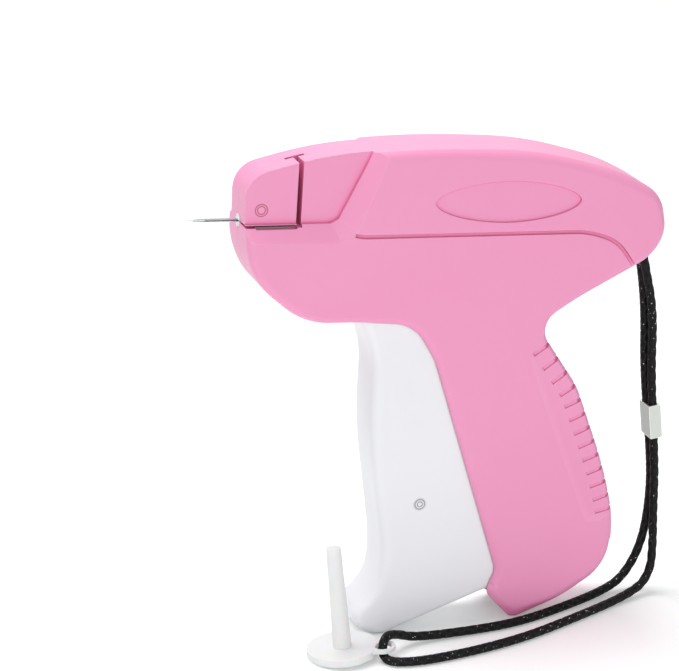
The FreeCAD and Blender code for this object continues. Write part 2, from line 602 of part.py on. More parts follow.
# The slide straddles the lever and pushes the rod through the needle.
slideFrom, slideTo = slidePin.x - size.slideFront, slidePin.x + size.slideBack
slide = plate("ejector_slide", rectangle(slideFrom, -size.slideHalfHeight, slideTo, size.slideHalfHeight),
              "2 * Sizes.slideHalfWidth")
saddle = sketchOn(slide, "slideSaddle", rectangle(slideFrom + size.slideFrontWall, -2 * size.slideHalfHeight,
                                                  slideTo + size.slideBack, 2 * size.slideHalfHeight))
pocket(slide, "slideSaddleCut", saddle, "2 * (Sizes.leverHalfThickness + 2 * Sizes.looseGap)", symmetric=True)
pinHole = sketchOn(slide, "slidePinHole", [circleCurve(slidePin, size.slidePinRadius)])
pocket(slide, "slidePinHoleCut", pinHole, "2 * Sizes.halfThickness", symmetric=True)
finish(slide)
subParts.append(crossPin("slide_pin", slidePin, "Sizes.slidePinRadius", "2 * Sizes.slideHalfWidth"))

rod = doc.addObject("Part::Cylinder", "ejector_rod")
rod.Label = "ejector_rod"
rodTip = barSlotShare * size.bodyLength + size.barSlotLength / 2 + size.looseGap
bind(rod, Radius="Sizes.rodRadius",
     Height="%g * Sizes.bodyLength - Sizes.slideFront - Sizes.barSlotLength / 2 - Sizes.looseGap"
     % (slidePinShare - barSlotShare))
subParts.append(stand(rod, Placement(Vector(rodTip, 0, 0), Rotation(Vector(0, 1, 0), 90))))

# A spiral of flat strip winds round the right boss of the lever, in half turns about two centres.
def spiralArcs(radius):
    arcs = []
    for index in range(int(size.springHalfTurns)):
        side = -1 if index % 2 else 1
        reachNow = (radius + index * size.springPitch / 2) * side
        centre = leverPivot + Vector(size.springPitch / 2 if index % 2 else 0, 0, 0)
        start, top = Vector(reachNow, 0, 0), Vector(0, reachNow, 0)
        arcs.append((centre + start, centre + top, centre - start))
    return arcs


innerArcs = spiralArcs(size.leverBossRadius + size.looseGap)
outerArcs = spiralArcs(size.leverBossRadius + size.looseGap + size.springStrip)
springCurves = [Part.Arc(*points) for points in innerArcs + outerArcs]
springCurves.append(Part.LineSegment(innerArcs[0][0], outerArcs[0][0]))
springCurves.append(Part.LineSegment(innerArcs[-1][2], outerArcs[-1][2]))
springFrom = "-(Sizes.leverHalfThickness + Sizes.looseGap)"
finish(plate("return_spring", springCurves, "Sizes.springWidth", springFrom, flip=True, symmetric=False))

# The feed wheel has one tooth for each fastener that drops.
toothPoints = []
wheelAt = Vector(size.wheelOffset, wheelHeight, 0)
for index in range(int(size.wheelTeeth)):
    for toothShare, radius in zip(toothShares, [size.wheelTipRadius] * 2 + [size.wheelRootRadius] * 2):
        angle = 2 * math.pi * (index + toothShare) / size.wheelTeeth
        toothPoints.append(wheelAt + Vector(math.cos(angle), math.sin(angle), 0) * radius)
wheelCurves = polygonEdges(toothPoints) + [circleCurve(wheelAt, size.axleRadius + size.runningGap)]
wheel = plate("feed_wheel", wheelCurves, "Sizes.wheelThickness",
              "%g * Sizes.bodyLength" % barSlotShare, role="YZ_Plane")
finish(wheel)
axle = doc.addObject("Part::Cylinder", "feed_axle")
axle.Label = "feed_axle"
bind(axle, Radius="Sizes.axleRadius", Height="Sizes.axleLength")
subParts.append(stand(axle, Placement(Vector(barSlotShare * size.bodyLength - size.axleLength / 2,
                                             size.wheelOffset, wheelHeight), Rotation(Vector(0, 1, 0), 90))))

blade = plate("cutter_blade", rectangle(bladeFrom, -size.needleSlotWidth / 2 - size.bladeThickness, bladeTo,
                                        -size.needleSlotWidth / 2),
              "Sizes.bladeWidth", "Sizes.hubRadius + Sizes.looseGap", symmetric=False)
finish(blade)


def turned(label, points):
    body = newBody(label)
    sketch = sketchOn(body, label + "Profile", polygonEdges(points))
    spin = body.newObject("PartDesign::Revolution", label + "Turn")
    spin.Profile = sketch
    spin.ReferenceAxis = (sketch, ["H_Axis"])
    spin.Angle = 360
    return body


# The needle is a slotted tube that opens into a long point, moulded into a white hub.
mouth = -size.needleReach + size.needleTaper
root = -size.hubLead - size.looseGap
needle = turned("needle", [Vector(size.needleSeat, 0), Vector(size.needleSeat, size.needleRootRadius),
                           Vector(root, size.needleRootRadius), Vector(root, size.needleRadius),
                           Vector(mouth, size.needleRadius), Vector(mouth, 0)])
tipRings = []
for radius, offset in ((size.needleRadius, "Sizes.needleTaper - Sizes.needleReach"),
                       (size.needlePoint, "-Sizes.needleReach")):
    ring = evenRing(Vector(), radius, size.needleTipSides)
    tipRings.append(sketchOn(needle, "needleTip%d" % len(tipRings), ring, offset, role="YZ_Plane"))
tip = needle.newObject("PartDesign::AdditiveLoft", "needleTip")
tip.Profile = tipRings[0]
tip.Sections = tipRings[1:]
tip.Ruled = True
bore = sketchOn(needle, "needleBore", rectangle(mouth, 0, size.needleSeat + size.cutOverrun, size.needleBore))
boring = needle.newObject("PartDesign::Groove", "needleBoring")
boring.Profile = bore
boring.ReferenceAxis = (bore, ["H_Axis"])
boring.Angle = 360
slotBack = size.needleSeat + size.cutOverrun
slot = sketchOn(needle, "needleSlot", rectangle(mouth, -size.needleSlot / 2, slotBack, size.needleSlot / 2))
pocket(needle, "needleSlotCut", slot, "2 * Sizes.needleRootRadius", flip=True)
scoopLength, scoopHalf = size.needleTaper * scoopShares[0], size.needleSlot / 2 * scoopShares[1]
scoop = sketchOn(needle, "needleScoop", polygonEdges([
    Vector(mouth - scoopLength, -scoopHalf), Vector(mouth, -size.needleSlot / 2),
    Vector(mouth, size.needleSlot / 2), Vector(mouth - scoopLength, scoopHalf)]))
pocket(needle, "needleScoopCut", scoop, "2 * Sizes.needleRootRadius", flip=True)
finish(needle)
hub = turned("needle_hub", [Vector(-size.hubLead, 0), Vector(-size.hubLead, size.hubRadius),
                            Vector(size.hubLength, size.hubRadius), Vector(size.hubLength, 0)])
for name, start, end, radius in (("NeedleSeat", -size.rimWall, size.needleSeat, size.needleRootRadius),
                                 ("RodWay", 0, size.hubLength + size.cutOverrun, size.needleBore)):
    sketch = sketchOn(hub, "hub" + name, rectangle(start, 0, end, radius))
    groove = hub.newObject("PartDesign::Groove", "hub" + name + "Cut")
    groove.Profile = sketch
    groove.ReferenceAxis = (sketch, ["H_Axis"])
    groove.Angle = 360
hubSlot = sketchOn(hub, "hubSlot", rectangle(-size.rimWall, -size.needleSlot / 2,
                                             size.hubLength + size.cutOverrun, size.needleSlot / 2))
pocket(hub, "hubSlotCut", hubSlot, "2 * Sizes.hubRadius", flip=True)
finish(hub)

# The needle lock is a small lever on the right of the nose, on a pin that shows on the left.
lockTip = place(*lockTipShares)
lock = plate("needle_lock", armCurves(lockPin, lockTip, size.lockHubRadius, size.lockTipRadius),
             "Sizes.lockPlate", "-(Sizes.noseHalfThickness + Sizes.looseGap)", flip=True, symmetric=False)
tab = sketchOn(lock, "lockTab", [circleCurve(lockTip, size.lockTipRadius)],
               "-(Sizes.noseHalfThickness + Sizes.looseGap)")
pad(lock, "lockTabPad", tab, "Sizes.lockTabDepth", flip=True)
lockHole = sketchOn(lock, "lockHole", [circleCurve(lockPin, size.lockPinRadius)])
pocket(lock, "lockHoleCut", lockHole, "Sizes.halfThickness", flip=False)
finish(lock)
lockLength = "2 * Sizes.noseHalfThickness + Sizes.looseGap + Sizes.lockPlate"
lockPinPart = doc.addObject("Part::Cylinder", "needle_lock_pin")
lockPinPart.Label = "needle_lock_pin"
bind(lockPinPart, Radius="Sizes.lockPinRadius", Height=lockLength)
doc.recompute()
lockPinEnd = lockPinPart.Height.Value - size.noseHalfThickness
subParts.append(stand(lockPinPart, Placement(Vector(lockPin.x, lockPinEnd, lockPin.y),
                                             Rotation(Vector(1, 0, 0), 90))))


# Like screws hold the halves together.
def screwShape(at):
    under = Vector(at.x, size.halfThickness - size.screwHeadDepth, at.y)
    head = Part.makeCylinder(size.screwHeadRadius, size.screwHeadHeight, under, Vector(0, 1, 0))
    return head.fuse(Part.makeCylinder(size.screwShankRadius, size.screwLength, under, Vector(0, -1, 0)))


screws = doc.addObject("Part::Feature", "shell_screws")
screws.Label = "shell_screws"
screws.Shape = Part.makeCompound([screwShape(at) for at in screwPlaces])
subParts.append(stand(screws))

# The strap's two ends are held in a bar across the tail.
anchor = doc.addObject("Part::Box", "strap_anchor")
anchor.Label = "strap_anchor"
bind(anchor, Length="Sizes.strapDiameter + 2 * Sizes.looseGap", Width="2 * (%s)" % cavityDepth,
     Height="Sizes.anchorHeight")
doc.recompute()
anchorCorner = Vector(-anchor.Length.Value / 2, -anchor.Width.Value / 2, 0)
anchor.Placement = strapStart * Placement(anchorCorner, Rotation())
subParts.append(anchor)


# One long cord: down from the tail, over the floor, through the cap's ear and back.
def cordWire(points):
    edges, here = [], points[0]
    for before, corner, after in zip(points, points[1:], points[2:]):
        arc = cornerArc(before, corner, after, cordEase)
        edges.append(Part.makeLine(here, arc.first))
        edges.append(Part.Arc(arc.first, arc.top, arc.last).toShape())
        print("cord radius %.1f" % arc.radius, end=" ")
        here = arc.last
    edges.append(Part.makeLine(here, points[-1]))
    return Part.Wire(edges)


def cordTube(label, points, radius, sides):
    # The section is an even polygon whose corners lie on the round cord's outline.
    path = cordWire(points)
    ahead = (points[1] - points[0]).normalize()
    across = ahead.cross(Vector(0, 1, 0))
    ring = [points[0] + (across * math.cos(angle) + Vector(0, math.sin(angle), 0)) * radius
            for angle in [math.pi * (2 * side + 1) / sides for side in range(sides)]]
    section = Part.makePolygon(ring + ring[:1])
    tube = doc.addObject("Part::Feature", label)
    tube.Label = label
    tube.Shape = path.makePipeShell([section], True, False)
    print(label, "length", round(path.Length, 1), "volume", round(tube.Shape.Volume, 1),
          "section times length", round(Part.Face(section).Area * path.Length, 1))
    return tube


subParts.append(cordTube("wrist_strap", strapRoute, size.strapDiameter / 2, int(size.strapSides)))

# The slider is a flat metal tube pressed round both strands.
slideRun = strapRoute[sliderRun + 1] - strapRoute[sliderRun]
outside = doc.addObject("Part::Box", "slider_outside")
bind(outside, Length="Sizes.strapDiameter + 2 * Sizes.sliderWall",
     Width="Sizes.strapPitch + Sizes.strapDiameter + 2 * (Sizes.sliderWall + Sizes.looseGap)",
     Height="Sizes.sliderLength")
inside = doc.addObject("Part::Box", "slider_inside")
bind(inside, Length="Sizes.strapDiameter",
     Width="Sizes.strapPitch + Sizes.strapDiameter + 2 * Sizes.looseGap",
     Height="Sizes.sliderLength + 2 * Sizes.cutOverrun")
doc.recompute()
middle = strapRoute[sliderRun] + slideRun * sliderShare
middle.y = 0
along = Placement(middle, Rotation(Vector(0, 0, 1), Vector(slideRun.x, 0, slideRun.z)))
for box in (outside, inside):
    half = Vector(box.Length.Value, box.Width.Value, box.Height.Value) / 2
    box.Placement = along * Placement(-half, Rotation())
slider = doc.addObject("Part::Cut", "strap_slider")
slider.Base = outside
slider.Tool = inside
slider.Label = "strap_slider"
subParts.append(slider)

# The needle's cap: a thin-walled tube on a skirted foot, with an ear for the strap.
foot = size.capFlangeRise + size.capFlangeThickness
rim = size.capFlangeRadius
cap = newBody("needle_cap")
profile = sketchOn(cap, "capProfile", polygonEdges([
    Vector(rim, 0), Vector(rim, foot), Vector(0, foot), Vector(0, size.capFlangeRise),
    Vector(rim - size.capSkirt, size.capFlangeRise), Vector(rim - size.capSkirt, 0)]))
spin = cap.newObject("PartDesign::Revolution", "capTurn")
spin.Profile = profile
spin.ReferenceAxis = (profile, ["V_Axis"])
spin.Angle = 360
tubeFoot = sketchOn(cap, "capTubeFoot", evenRing(Vector(), size.capBaseRadius, size.capTubeSides),
                    "Sizes.capFlangeRise", role="XY_Plane")
tubeTop = sketchOn(cap, "capTubeTop", evenRing(Vector(), size.capTopRadius, size.capTubeSides),
                   "Sizes.capHeight", role="XY_Plane")
tube = cap.newObject("PartDesign::AdditiveLoft", "capTube")
tube.Profile = tubeFoot
tube.Sections = [tubeTop]
tube.Ruled = True
earAt = Vector(size.capEarReach, 0)
ear = sketchOn(cap, "capEar", armCurves(Vector(rim - size.capEarRadius, 0), earAt,
                                        size.capEarRadius, size.capEarTip),
               "Sizes.capFlangeRise", role="XY_Plane")
pad(cap, "capEarPad", ear, "Sizes.capFlangeThickness")
bore = sketchOn(cap, "capBore", [circleCurve(Vector(), size.capBore)], role="XY_Plane")
pocket(cap, "capBoreCut", bore, "Sizes.capHeight - Sizes.capRoof", flip=True)
hole = sketchOn(cap, "capEarHole", [circleCurve(earAt, size.capEarHole)], role="XY_Plane")
pocket(cap, "capEarHoleCut", hole, "2 * Sizes.capFlangeRise + Sizes.capFlangeThickness", flip=True)
doc.recompute()
capRim = Vector(*[share * size.bodyLength for share in capRimShares])
cap.Placement = (Placement(capRim, Rotation(Vector(0, 0, 1), size.capTurn))
                 * Placement(Vector(), Rotation(Vector(0, 1, 0), -size.capTilt))
                 * Placement(Vector(rim, 0, 0), Rotation()))
subParts.append(cap)

doc.recompute()
faults = ["%s: %s" % (item.Name, item.State) for item in doc.Objects
          if "Invalid" in item.State or "Error" in item.State]
for item in subParts:
    if item.Shape.isNull() or not item.Shape.isValid() or len(item.Shape.Solids) == 0:
        faults.append(item.Label + ": no valid solid")
if faults:
    raise RuntimeError("; ".join(faults))
for item in subParts:
    print(item.Label, "solids", len(item.Shape.Solids), "faces", len(item.Shape.Faces),
          "volume", round(item.Shape.Volume, 1))
os.makedirs("parts", exist_ok=True)
for item in subParts:
    item.Shape.exportStep("parts/%s.step" % item.Label)
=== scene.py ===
import json
import math

import bmesh
import bpy
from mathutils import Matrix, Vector


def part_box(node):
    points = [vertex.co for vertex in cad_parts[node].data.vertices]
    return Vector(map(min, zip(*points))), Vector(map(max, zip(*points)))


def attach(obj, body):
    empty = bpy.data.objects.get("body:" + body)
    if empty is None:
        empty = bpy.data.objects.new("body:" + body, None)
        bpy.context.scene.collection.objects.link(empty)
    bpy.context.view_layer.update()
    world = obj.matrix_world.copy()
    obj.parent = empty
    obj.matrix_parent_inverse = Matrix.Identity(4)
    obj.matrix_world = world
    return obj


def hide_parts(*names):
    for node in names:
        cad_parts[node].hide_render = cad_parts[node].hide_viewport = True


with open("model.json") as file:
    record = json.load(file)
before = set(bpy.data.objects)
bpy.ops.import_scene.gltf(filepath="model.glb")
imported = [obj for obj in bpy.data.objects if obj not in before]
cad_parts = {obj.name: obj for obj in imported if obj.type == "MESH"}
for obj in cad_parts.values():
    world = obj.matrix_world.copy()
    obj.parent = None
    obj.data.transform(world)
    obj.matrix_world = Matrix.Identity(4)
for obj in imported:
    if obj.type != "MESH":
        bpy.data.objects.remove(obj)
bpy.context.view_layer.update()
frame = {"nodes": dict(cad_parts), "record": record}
nodes = frame["nodes"]
mm = 0.001
print("frame loaded", len(nodes), "nodes")

# The tool's own frame, in millimetres: x runs back from the nose, z up from the needle's axis.
shaft = next(mount for mount in frame["record"]["mounts"] if mount["name"] == "needle_shaft")
shaftMiddle = -7.0
backward = Vector(shaft["axis"]).normalized()
if backward.x < 0:
    backward.negate()
upward = Vector((0, 1, 0)).cross(-backward).normalized()
noseAt = Vector(shaft["pos_m"]) - backward * shaftMiddle * mm


def toolSpot(x, y, z):
    return noseAt + (backward * x + Vector((0, y, 0)) + upward * z) * mm


# The camera stands where the photograph was taken from.
view = {"azimuth": -17.5, "elevation": 19.0, "distance": 0.884, "lens": 137.9, "sensor": 36,
        "near": 0.05, "far": 20, "target": (-0.0298, 0.0, 0.1093)}


def placeCamera():
    turn, rise = math.radians(view["azimuth"]), math.radians(view["elevation"])
    back = Vector((math.sin(turn) * math.cos(rise), -math.cos(turn) * math.cos(rise), math.sin(rise)))
    data = bpy.data.cameras.new("camera")
    data.lens = view["lens"]
    data.sensor_width = view["sensor"]
    data.clip_start = view["near"]
    data.clip_end = view["far"]
    camera = bpy.data.objects.new("camera", data)
    camera.location = Vector(view["target"]) + back * view["distance"]
    camera.rotation_mode = "QUATERNION"
    camera.rotation_quaternion = (-back).to_track_quat("-Z", "Y")
    bpy.context.scene.collection.objects.link(camera)
    bpy.context.scene.camera = camera


placeCamera()
print("camera placed")

# What the finishes share.
looks = {"edgeSamples": 6, "hollowSamples": 8, "ringCore": 0.4, "crease": 28, "flat": 1.5}


class Value:
    # A socket that takes part in sums with other sockets and with plain numbers.
    def __init__(self, graph, socket):
        self.graph = graph
        self.socket = socket

    def maths(self, operation, *others, swap=False):
        values = [self] + list(others)
        if swap:
            values.reverse()
        return self.graph.node("ShaderNodeMath", {"operation": operation}, dict(enumerate(values)))

    def __add__(self, other):
        return self.maths("ADD", other)

    __radd__ = __add__

    def __mul__(self, other):
        return self.maths("MULTIPLY", other)

    def __sub__(self, other):
        return self.maths("SUBTRACT", other)

    def __rsub__(self, other):
        return self.maths("SUBTRACT", other, swap=True)

    def __lt__(self, other):
        return self.maths("LESS_THAN", other)

    def __abs__(self):
        return self.maths("ABSOLUTE")

    def biggest(self, other):
        return self.maths("MAXIMUM", other)

    def held(self):
        # Kept between 0 and 1.
        return self.maths("MAXIMUM", 0.0).maths("MINIMUM", 1.0)

    def eased(self, low, high):
        return self.graph.node("ShaderNodeMapRange", {"interpolation_type": "SMOOTHSTEP"},
                               {"Value": self, "From Min": low, "From Max": high})


class Graph:
    # A node tree, and the one way in which its nodes are made.
    def __init__(self, tree):
        self.tree = tree

    def node(self, kind, settings=None, inputs=None, output=0):
        made = self.tree.nodes.new(kind)
        for key, value in (settings or {}).items():
            setattr(made, key, value)
        for key, value in (inputs or {}).items():
            self.feed(made.inputs[key], value)
        return Value(self, made.outputs[output])

    def feed(self, socket, value):
        if isinstance(value, Value):
            self.tree.links.new(value.socket, socket)
        elif socket.type == "RGBA" and len(value) == 3:
            socket.default_value = (*value, 1.0)
        else:
            socket.default_value = value

    def blend(self, factor, first, second):
        return self.node("ShaderNodeMix", {"data_type": "RGBA"}, {"Factor": factor, "A": first, "B": second},
                         output=2)

    def seen(self):
        # 1 for the rays that show a surface to the eye, straight, mirrored or through a clear piece.
        rays = [self.node("ShaderNodeLightPath", output="Is %s Ray" % kind)
                for kind in ("Camera", "Glossy", "Transmission")]
        return rays[0].biggest(rays[1]).biggest(rays[2])


class Finish(Graph):
    # One material.
    def __init__(self, name, **sockets):
        self.material = bpy.data.materials.new(name)
        self.material.use_nodes = True
        super().__init__(self.material.node_tree)
        self.shader = next(item for item in self.tree.nodes if item.type == "BSDF_PRINCIPLED")
        self.set(**sockets)

    def set(self, **sockets):
        for key, value in sockets.items():
            self.feed(self.shader.inputs[key.replace("_", " ")], value)
        return self

    def place(self):
        return self.node("ShaderNodeTexCoord", output="Object")

    def along(self, axis):
        return self.node("ShaderNodeSeparateXYZ", inputs={"Vector": self.place()}, output=axis)

    def noise(self, scale, detail=3.0, vector=None):
        return self.node("ShaderNodeTexNoise", {}, {"Vector": vector or self.place(), "Scale": scale,
                                                    "Detail": detail})

    def rounded(self, radius):
        return self.node("ShaderNodeBevel", {"samples": looks["edgeSamples"]}, {"Radius": radius})

    def bump(self, height, strength, distance, radius=0.0):
        # Fine relief, over edges that catch the light as if rounded by the given radius.
        inputs = {"Height": height, "Strength": strength, "Distance": distance}
        if radius:
            inputs["Normal"] = self.rounded(radius)
        return self.set(Normal=self.node("ShaderNodeBump", {}, inputs))

    def edges(self, radius):
        # 0 on flat ground, growing where the surface turns within the radius.
        rounded = self.rounded(radius)
        true = self.node("ShaderNodeNewGeometry", output="True Normal")
        return 1.0 - self.node("ShaderNodeVectorMath", {"operation": "DOT_PRODUCT"}, {0: rounded, 1: true},
                               output="Value")

    def facing(self, axis):
        # How far a surface faces along one of the world's axes, from -1 to 1.
        normal = self.node("ShaderNodeNewGeometry", output="Normal")
        return self.node("ShaderNodeSeparateXYZ", inputs={"Vector": normal}, output=axis)

    def ringed(self, x, z, radius, width):
        # 1 on a ring about an axis along Y.
        spot = self.node("ShaderNodeVectorMath", {"operation": "SUBTRACT"}, {0: self.place(), 1: (x, 0, z)})
        flat = self.node("ShaderNodeVectorMath", {"operation": "MULTIPLY"}, {0: spot, 1: (1, 0, 1)})
        away = self.node("ShaderNodeVectorMath", {"operation": "LENGTH"}, {0: flat}, output="Value")
        return 1.0 - abs(away - radius).eased(width * looks["ringCore"], width)

    def openness(self, reach):
        # 1 where a surface lies open, towards 0 in slots and corners narrower than the reach.
        return self.node("ShaderNodeAmbientOcclusion", {"samples": looks["hollowSamples"]},
                         {"Distance": reach}, output="AO")


screen = {"full": 255, "dark": 11, "slope": 12.92, "lift": 0.055, "power": 2.4}


def shade(red, green, blue, share=1.0):
    # A colour as the eye reads it, 0 to 255, turned into the shader's own scale.
    parts = []
    for part in (red * share, green * share, blue * share):
        level = part / screen["full"]
        parts.append(level / screen["slope"] if part < screen["dark"] else
                     ((level + screen["lift"]) / (1 + screen["lift"])) ** screen["power"])
    return tuple(parts)


def wear(finish, *names):
    for name in names:
        piece = nodes[name]
        piece.data.materials.clear()
        piece.data.materials.append(finish.material)


def smooth(mesh, degrees):
    mesh.polygons.foreach_set("use_smooth", [True] * len(mesh.polygons))
    mesh.set_sharp_from_angle(angle=math.radians(degrees))


def joined(pairs, count):
    # Which items hang together, as the lowest number in each set.
    chief = list(range(count))

    def head(item):
        while chief[item] != item:
            chief[item] = chief[chief[item]]
            item = chief[item]
        return item

    for first, second in pairs:
        first, second = head(first), head(second)
        chief[max(first, second)] = min(first, second)
    return [head(item) for item in range(count)]


def soften(mesh, degrees):
    # Normals that follow the broadest face at each corner, so that a narrow bevel reads as a rounding.
    mesh.polygons.foreach_set("use_smooth", [True] * len(mesh.polygons))
    spots = {}
    spotOf = [spots.setdefault(tuple(round(part, 7) for part in vertex.co), len(spots))
              for vertex in mesh.vertices]
    rims = {}
    for face in mesh.polygons:
        ring = [spotOf[vertex] for vertex in face.vertices]
        for pair in zip(ring, ring[1:] + ring[:1]):
            rims.setdefault(frozenset(pair), []).append(face.index)
    shared = [(pair, faces) for pair, faces in rims.items() if len(faces) == 2]
    normals = [face.normal.copy() for face in mesh.polygons]
    bends = [normals[faces[0]].angle(normals[faces[1]], math.pi) for pair, faces in shared]
    flat = joined([faces for (pair, faces), bend in zip(shared, bends) if bend < math.radians(looks["flat"])],
                  len(normals))
    areas = {}
    for face in mesh.polygons:
        areas[flat[face.index]] = areas.get(flat[face.index], 0.0) + face.area
    around = {}
    for face in mesh.polygons:
        for vertex in face.vertices:
            around.setdefault(spotOf[vertex], []).append(face.index)
    links = {}
    for (pair, faces), bend in zip(shared, bends):
        if bend < math.radians(degrees):
            for spot in pair:
                links.setdefault(spot, []).append(faces)
    chosen = {}
    for spot, faces in around.items():
        order = {face: index for index, face in enumerate(faces)}
        fans = joined([(order[first], order[second]) for first, second in links.get(spot, [])], len(faces))
        for fan in set(fans):
            members = {flat[face]: face for face, mark in zip(faces, fans) if mark == fan}
            blend = sum((normals[face] * areas[group] ** 2 for group, face in members.items()), Vector())
            for face, mark in zip(faces, fans):
                if mark == fan:
                    chosen[(spot, face)] = blend.normalized()
    loops = [chosen[(spotOf[vertex], face.index)] for face in mesh.polygons for vertex in face.vertices]
    mesh.normals_split_custom_set(loops)


casing = {"pink": (242, 157, 197), "deep": (239, 149, 190), "patch": 18.0, "patchRange": (0.3, 0.7),
          "patchShare": 0.35, "slot": (172, 14, 58), "slotReach": 2.6, "slotRange": (0.05, 0.66),
          "litRange": (0.2, 0.7), "litShare": 0.55, "hollow": (236, 112, 170), "hollowReach": 7.0,
          "hollowRange": (0.5, 0.93), "hollowShare": 0.6, "shine": (255, 205, 230), "edge": 0.45,
          "edgeRange": (0.012, 0.06), "unshadedRange": (0.75, 0.95), "shineShare": 0.55, "seam": 0.09,
          "seamShare": 0.6, "roughness": 0.42, "gloss": 0.35, "cloud": 240.0, "cloudShare": 0.06,
          "grain": 900.0, "grainStrength": 0.12, "grainDepth": 0.00002}


def casingFinish(name):
    finish = Finish(name, Roughness=casing["roughness"], Specular_IOR_Level=casing["gloss"])
    patches = finish.noise(casing["patch"], 2.0)
    plastic = finish.blend(patches.eased(*casing["patchRange"]) * casing["patchShare"],
                           shade(*casing["pink"]), shade(*casing["deep"]))
    # Painted shade: narrow slots and corners are painted dark maroon, by how open the surface lies.
    unshaded = finish.openness(casing["slotReach"] * mm)
    # Painted shade: wide hollows are painted a deeper pink, and the lips beside them get a painted highlight.
    hollowShade = 1.0 - finish.openness(casing["hollowReach"] * mm).eased(*casing["hollowRange"])
    plastic = finish.blend(hollowShade * casing["hollowShare"], plastic, shade(*casing["hollow"]))
    # Painted highlight: edges away from narrow slots are painted a light pink.
    paintedLight = finish.edges(casing["edge"] * mm).eased(*casing["edgeRange"]) * unshaded.eased(*casing["unshadedRange"])
    plastic = finish.blend(paintedLight * casing["shineShare"], plastic, shade(*casing["shine"]))
    seam = abs(finish.along(1)) < casing["seam"] * mm
    # Painted shade: a groove's lower wall faces the light and stays pale; its upper edge and its floor are
    # painted dark.
    lit = finish.facing(2).eased(*casing["litRange"]) * casing["litShare"]
    light = (unshaded.eased(*casing["slotRange"]) + lit - seam * casing["seamShare"]).held()
    finish.set(Base_Color=finish.blend(light, shade(*casing["slot"]), plastic))
    finish.set(Roughness=casing["roughness"] + (finish.noise(casing["cloud"]) - 0.5) * casing["cloudShare"])
    finish.bump(finish.noise(casing["grain"], 2.0), casing["grainStrength"], casing["grainDepth"],
                casing["edge"] * mm)
    return finish


trigger = {"white": (240, 240, 244), "cool": (234, 234, 240), "patch": 22.0, "patchRange": (0.35, 0.7),
           "patchShare": 0.4, "gapShade": (120, 118, 124), "gapReach": 1.0, "gapRange": (0.05, 0.6),
           "edge": 1.6, "roughness": 0.34, "gloss": 0.4, "cloud": 260.0, "cloudShare": 0.05,
           "grain": 700.0, "grainStrength": 0.08}


def triggerFinish(name):
    finish = Finish(name, Specular_IOR_Level=trigger["gloss"])
    patches = finish.noise(trigger["patch"]).eased(*trigger["patchRange"])
    plastic = finish.blend(patches * trigger["patchShare"], shade(*trigger["white"]),
                           shade(*trigger["cool"]))
    # Painted shade: narrow gaps are painted grey, by how open the surface lies.
    unshaded = finish.openness(trigger["gapReach"] * mm).eased(*trigger["gapRange"])
    finish.set(Base_Color=finish.blend(unshaded, shade(*trigger["gapShade"]), plastic))
    clouds = (finish.noise(trigger["cloud"]) - 0.5) * trigger["cloudShare"]
    finish.set(Roughness=trigger["roughness"] + clouds)
    finish.bump(finish.noise(trigger["grain"], 2.0), trigger["grainStrength"], casing["grainDepth"],
                trigger["edge"] * mm)
    return finish


# The metals, and how their fine lines lie along each axis.
metals = {"lines": 400.0, "dark": 0.86, "darkShare": 0.4, "cloudShare": 0.12,
          "kinds": {"steel": ((190, 192, 196), 0.3, (1.0, 8.0, 8.0)),
                    "needleSteel": ((205, 206, 210), 0.22, (0.2, 6.0, 6.0)),
                    "screwSteel": ((168, 168, 172), 0.34, (4.0, 4.0, 4.0)),
                    "sliderSilver": ((205, 207, 202), 0.36, (6.0, 6.0, 0.6))}}
slider = {"rim": 0.5, "rimRange": (0.05, 0.2), "shadeLevel": 0.66, "shadeRange": (0.3, 0.9), "shadeShare": 0.75}


def metalFinish(name, paintedLight=False):
    colour, roughness, stretch = metals["kinds"][name]
    finish = Finish(name, Metallic=1.0)
    squeezed = finish.node("ShaderNodeMapping", {}, {"Vector": finish.place(), "Scale": stretch})
    lines = finish.noise(metals["lines"], 2.0, vector=squeezed)
    metal = finish.blend(lines * metals["darkShare"], shade(*colour), shade(*colour, metals["dark"]))
    if paintedLight:
        # Painted shade darkens the side that faces the tool, and the rims get a painted highlight.
        shadedSide = (finish.facing(0) * -1.0).eased(*slider["shadeRange"]) * slider["shadeShare"]
        metal = finish.blend(shadedSide, metal, shade(*colour, slider["shadeLevel"]))
        rims = finish.edges(slider["rim"] * mm).eased(*slider["rimRange"])
        metal = finish.blend(rims, metal, (1.0, 1.0, 1.0))
    finish.set(Base_Color=metal)
    finish.set(Roughness=roughness + (lines - 0.5) * metals["cloudShare"])
    return finish


# The plain mouldings: their colour and roughness.
mouldings = {"mottle": 60.0, "mottleShare": 0.3, "dark": 0.95, "cloudShare": 0.05, "gloss": 0.4,
             "kinds": {"innerWhite": ((214, 214, 214), 0.5), "hubWhite": ((236, 236, 236), 0.4)}}


def mouldedFinish(name):
    colour, roughness = mouldings["kinds"][name]
    finish = Finish(name, Specular_IOR_Level=mouldings["gloss"])
    mottle = finish.noise(mouldings["mottle"])
    finish.set(Base_Color=finish.blend(mottle * mouldings["mottleShare"], shade(*colour),
                                       shade(*colour, mouldings["dark"])))
    finish.set(Roughness=roughness + (mottle - 0.5) * mouldings["cloudShare"])
    return finish


# The pins' turned rings, as radius and width in millimetres.
pins = {"depth": -0.0002, "strength": 0.6, "roughness": 0.4, "gloss": 0.4,
        "kinds": {"needle_lock_pin": ("nosePinPink", casing["pink"], casing["slot"],
                                      ((2.1, 0.3), (1.35, 0.28))),
                  "link_pin": ("linkPinWhite", trigger["white"], (80, 80, 84), ((1.75, 0.3), (0.9, 0.3)))}}


